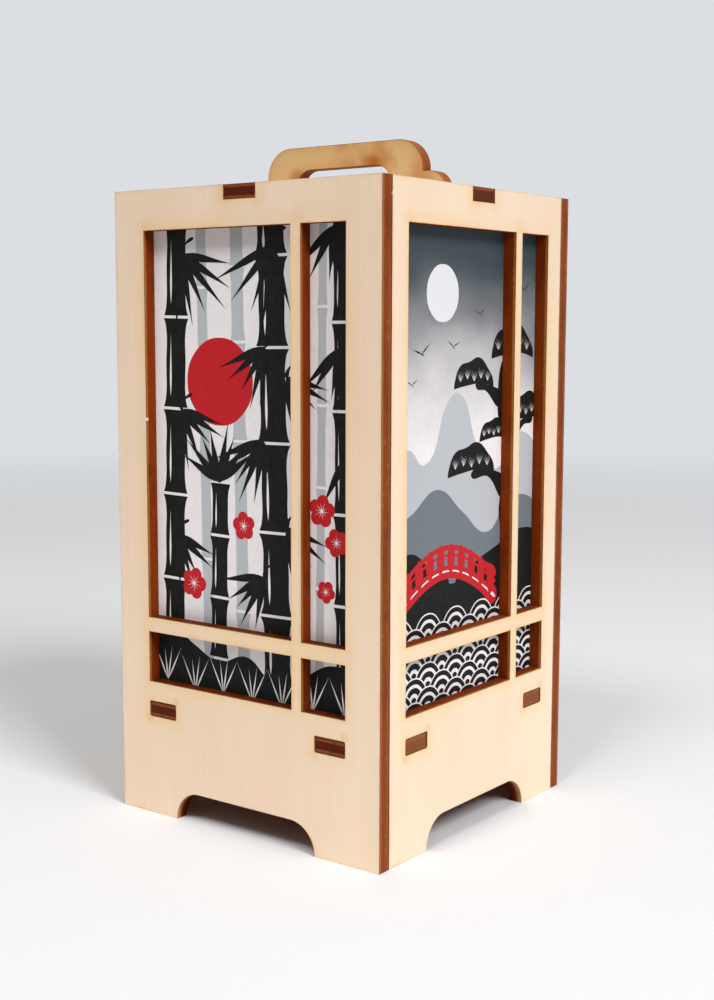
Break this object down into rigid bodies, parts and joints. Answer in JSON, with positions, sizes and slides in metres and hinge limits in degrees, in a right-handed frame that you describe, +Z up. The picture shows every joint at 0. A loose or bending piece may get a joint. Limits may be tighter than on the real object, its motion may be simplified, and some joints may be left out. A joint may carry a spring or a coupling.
{
  "type": "andon lamp",
  "caption": "Square table lamp of laser-cut lattice panels with printed paper behind the windows, a lift-off lid with a flat handle, and a small battery light on a shelf.",
  "frame": {"origin": "on the table, in the middle of the four feet", "axes": "+Z up, front panel towards -Y, right panel towards +X"},
  "size_m": [0.1046, 0.1054, 0.2161],
  "materials": {
    "plywood": "bare, laser-cut",
    "handle_plywood": "bare, scorched",
    "printed_paper": "translucent, printed",
    "wax_plastic": "wax-like",
    "flame_plastic": "frosted",
    "led_resin": "clear",
    "tinned_wire": "tinned",
    "contact_strip": "bright",
    "cell_steel": "satin",
    "screw_steel": "zinc",
    "switch_plastic": "black"
  },
  "bodies": {
    "case": {"front_panel": "plywood", "right_panel": "plywood", "back_panel": "plywood", "shelf": "plywood", "front_paper": "printed_paper", "right_paper": "printed_paper", "back_paper": "printed_paper", "light_shell": "wax_plastic", "light_floor": "wax_plastic", "battery_door": "wax_plastic", "flame_lens": "flame_plastic", "led": "led_resin", "led_leads": "tinned_wire", "top_contact": "contact_strip", "side_contact": "contact_strip", "coin_cell": "cell_steel", "door_screw": "screw_steel"},
    "lid": {"lid": "plywood", "handle": "handle_plywood"},
    "loose_panel": {"left_panel": "plywood", "left_paper": "printed_paper"},
    "switch": {"switch_slider": "switch_plastic"}
  },
  "joints": [
    {"name": "lid_lift", "type": "slide", "parent": "case", "child": "lid", "axis": [0, 0, 1], "range_m": [0, 0.06]},
    {"name": "panel_tip", "type": "hinge", "parent": "case", "child": "loose_panel", "pos_m": [-0.05225, 0, 0], "axis": [0, -1, 0], "range_deg": [0, 90]},
    {"name": "switch_slide", "type": "slide", "parent": "case", "child": "switch", "axis": [0, 1, 0], "range_m": [0, 0.0025]}
  ]
}
